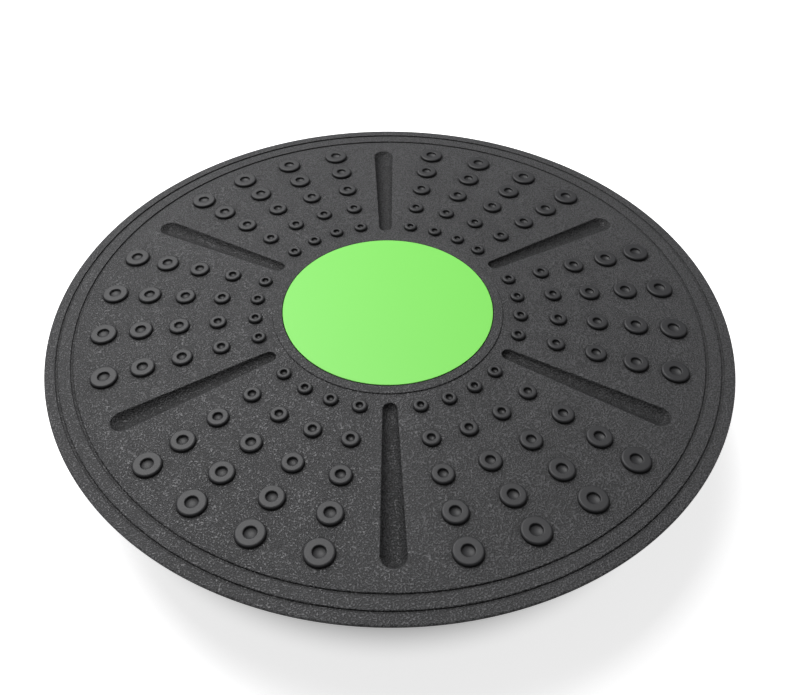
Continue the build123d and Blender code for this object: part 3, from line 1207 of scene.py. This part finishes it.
@dataclass(frozen=True)
class Softbox:
    """A soft square lamp."""

    name: str
    place: tuple[float, float, float]  # metres
    size: float  # length of its sides in metres
    power: float  # watts

    def hang(self, aim: Vector) -> None:
        """Hang the lamp in the scene.

        Args:
            aim: The point that it faces.
        """
        data = bpy.data.lights.new(self.name, "AREA")
        data.shape = "SQUARE"
        data.size = self.size
        data.energy = self.power
        lamp = bpy.data.objects.new(self.name, data)
        lamp.location = self.place
        lamp.rotation_euler = (aim - lamp.location).to_track_quat("-Z", "Y").to_euler()
        bpy.context.scene.collection.objects.link(lamp)


@dataclass
class Studio:
    """The floor, the lamps and the world round the object. Sizes in metres."""

    floor_size: float = 12.0
    floor_colour: str = "f4f4f5"
    # Painted glow of the floor, to the camera only: low under the deck and high past its edge, which
    # paints the soft edge of its shadow
    painted_floor_glow: tuple[float, float] = (0.10, 0.76)
    painted_glow_radii: tuple[float, float] = (0.152, 0.186)
    fade_radii: tuple[float, float] = (0.0, 1.2)  # from the object out to a floor as white as the backdrop
    world_strength: float = 0.10
    softboxes: tuple[Softbox, ...] = (
        Softbox("overhead_softbox", (-0.4, 0.45, 1.65), 1.0, 21.0),
        Softbox("back_softbox", (-0.75, 1.2, 1.45), 1.3, 17.5),
    )

    def floor(self) -> None:
        """Lay a pale floor that keeps the object's shadow and is clear from below. To the camera it has a
        painted glow, low under the deck and rising past its edge, which paints the shadow's soft edge.
        """
        bm = bmesh.new()
        bmesh.ops.create_grid(bm, x_segments=1, y_segments=1, size=self.floor_size / 2)
        floor = bpy.data.objects.new("floor", finish_mesh(bm, "floor", outwards=False))
        bpy.context.scene.collection.objects.link(floor)
        material, tree = new_material("pale_studio_floor")
        seen = add_node(tree, "LightPath").outputs["Is Camera Ray"]
        place = add_node(tree, "TexCoord").outputs["Object"]
        distance = add_node(tree, "VectorMath", {0: place}, operation="LENGTH").outputs["Value"]
        near, far = self.painted_glow_radii
        low, high = self.painted_floor_glow
        # Painted glow, graded out from under the deck: it paints the soft edge of the shadow
        shadow_edge_glow = add_node(
            tree,
            "MapRange",
            {"Value": distance, "From Min": near, "From Max": far, "To Min": low, "To Max": high},
            interpolation_type="SMOOTHSTEP",
        )
        start, end = self.fade_radii
        away = add_node(tree, "MapRange", {"Value": distance, "From Min": start, "From Max": end})
        white = add_node(tree, "Math", {0: shadow_edge_glow.outputs[0], 1: away.outputs[0]}, operation="MAXIMUM")
        lift = add_node(tree, "Math", {0: seen, 1: white.outputs[0]}, operation="MULTIPLY")
        paint = add_node(tree, "BsdfDiffuse", {"Color": linear(self.floor_colour)})
        glow = add_node(tree, "Emission", {"Strength": lift.outputs[0]})
        both = add_node(tree, "AddShader", {0: paint.outputs[0], 1: glow.outputs[0]})
        below = add_node(tree, "NewGeometry").outputs["Backfacing"]
        clear = add_node(tree, "BsdfTransparent")
        one_sided = add_node(tree, "MixShader", {0: below, 1: both.outputs[0], 2: clear.outputs[0]})
        add_node(tree, "OutputMaterial", {"Surface": one_sided.outputs[0]})
        floor.data.materials.append(material)

    def world(self) -> None:
        """Give a soft even fill, and a white backdrop to the camera and through anything clear."""
        world = bpy.data.worlds.new("studio")
        world.use_nodes = True
        tree = world.node_tree
        tree.nodes.clear()
        path = add_node(tree, "LightPath")
        seen = add_node(
            tree,
            "Math",
            {0: path.outputs["Is Camera Ray"], 1: path.outputs["Is Transmission Ray"]},
            operation="MAXIMUM",
        )
        strength = add_node(
            tree,
            "MapRange",
            {"Value": seen.outputs[0], "To Min": self.world_strength, "To Max": 1.0},
        )
        back = add_node(tree, "Background", {"Color": (1, 1, 1, 1), "Strength": strength.outputs[0]})
        add_node(tree, "OutputWorld", {"Surface": back.outputs[0]})
        bpy.context.scene.world = world

    def light(self, aim: Vector) -> None:
        """Hang the lamps.

        Args:
            aim: The middle of the object.
        """
        for softbox in self.softboxes:
            softbox.hang(aim)


@dataclass
class Viewpoint:
    """The camera, placed from the middle of the level band's plane. Sizes in metres and degrees."""

    place: Vector = field(default_factory=lambda: Vector((-0.0080, -0.3778, 0.3595)))
    heading_deg: float = -0.34
    elevation_deg: float = 45.87
    roll_deg: float = -0.82
    lens_mm: float = 39.6
    sensor_mm: float = 36.0
    shift_x: float = 0.0304

    def set_up(self, rim: Vector) -> None:
        """Make the scene's camera.

        Args:
            rim: Middle of the plane of the deck's level band.
        """
        yaw, tilt, roll = (math.radians(a) for a in (self.heading_deg, self.elevation_deg, self.roll_deg))
        forward = Vector((math.sin(yaw) * math.cos(tilt), math.cos(yaw) * math.cos(tilt), -math.sin(tilt)))
        level = Vector((math.cos(yaw), -math.sin(yaw), 0))
        right = level * math.cos(roll) + level.cross(forward) * math.sin(roll)
        turned = Matrix((right, right.cross(forward), -forward)).transposed()
        data = bpy.data.cameras.new("camera")
        data.lens = self.lens_mm
        data.sensor_width = self.sensor_mm
        data.shift_x = self.shift_x
        camera = bpy.data.objects.new("camera", data)
        camera.matrix_world = Matrix.Translation(rim + self.place) @ turned.to_4x4()
        bpy.context.scene.collection.objects.link(camera)
        bpy.context.scene.camera = camera


def main() -> None:
    """Build the studio and every piece of the object, in order."""
    logging.basicConfig(level=logging.INFO, format="%(message)s")
    bpy.context.scene.view_settings.view_transform = "Standard"
    deck = Deck()
    rim = Vector((0, 0, deck.top * MM))
    Viewpoint().set_up(rim)
    studio = Studio()
    studio.floor()
    studio.world()
    studio.light(rim)
    deck.dress(deck.mesh())
    cap = CentreCap()
    cap.dress(cap.mesh())
    dome = Dome()
    dome.dress(dome.mesh())
    foot = FootPad(dome)
    foot.dress(foot.mesh())
    Fasteners().dress()


if __name__ == "__main__":
    main()
